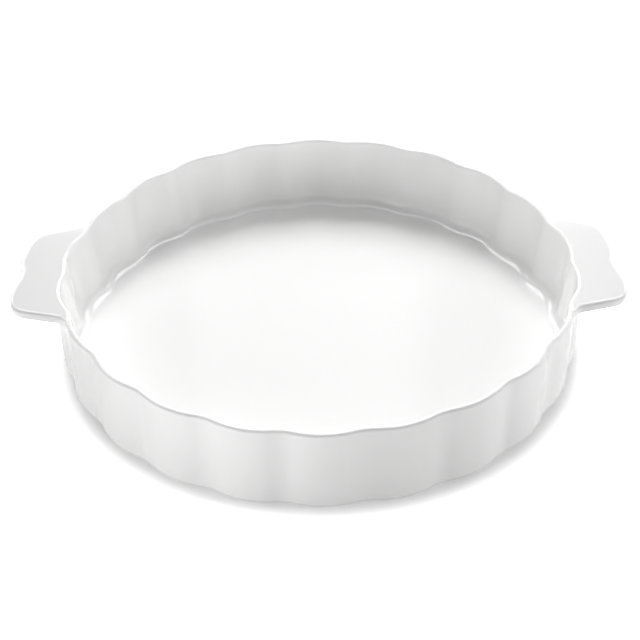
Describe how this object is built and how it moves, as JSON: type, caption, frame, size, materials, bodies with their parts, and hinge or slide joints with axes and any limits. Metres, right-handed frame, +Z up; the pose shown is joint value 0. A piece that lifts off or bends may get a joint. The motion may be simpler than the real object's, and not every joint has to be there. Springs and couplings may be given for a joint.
{
  "type": "ceramic pie dish",
  "caption": "Round ceramic pie dish with a fluted wall, a flat floor and flat scalloped side handles level with the rim, for baking and serving.",
  "frame": {"origin": "middle of the foot's underside, on the surface that the dish stands on", "axes": "+X through the handles, +Y across them, +Z up out of the dish"},
  "size_m": [0.3352, 0.2854, 0.0475],
  "materials": {
    "dish": "gloss"
  },
  "bodies": {
    "root": {"dish": "dish"}
  },
  "joints": []
}
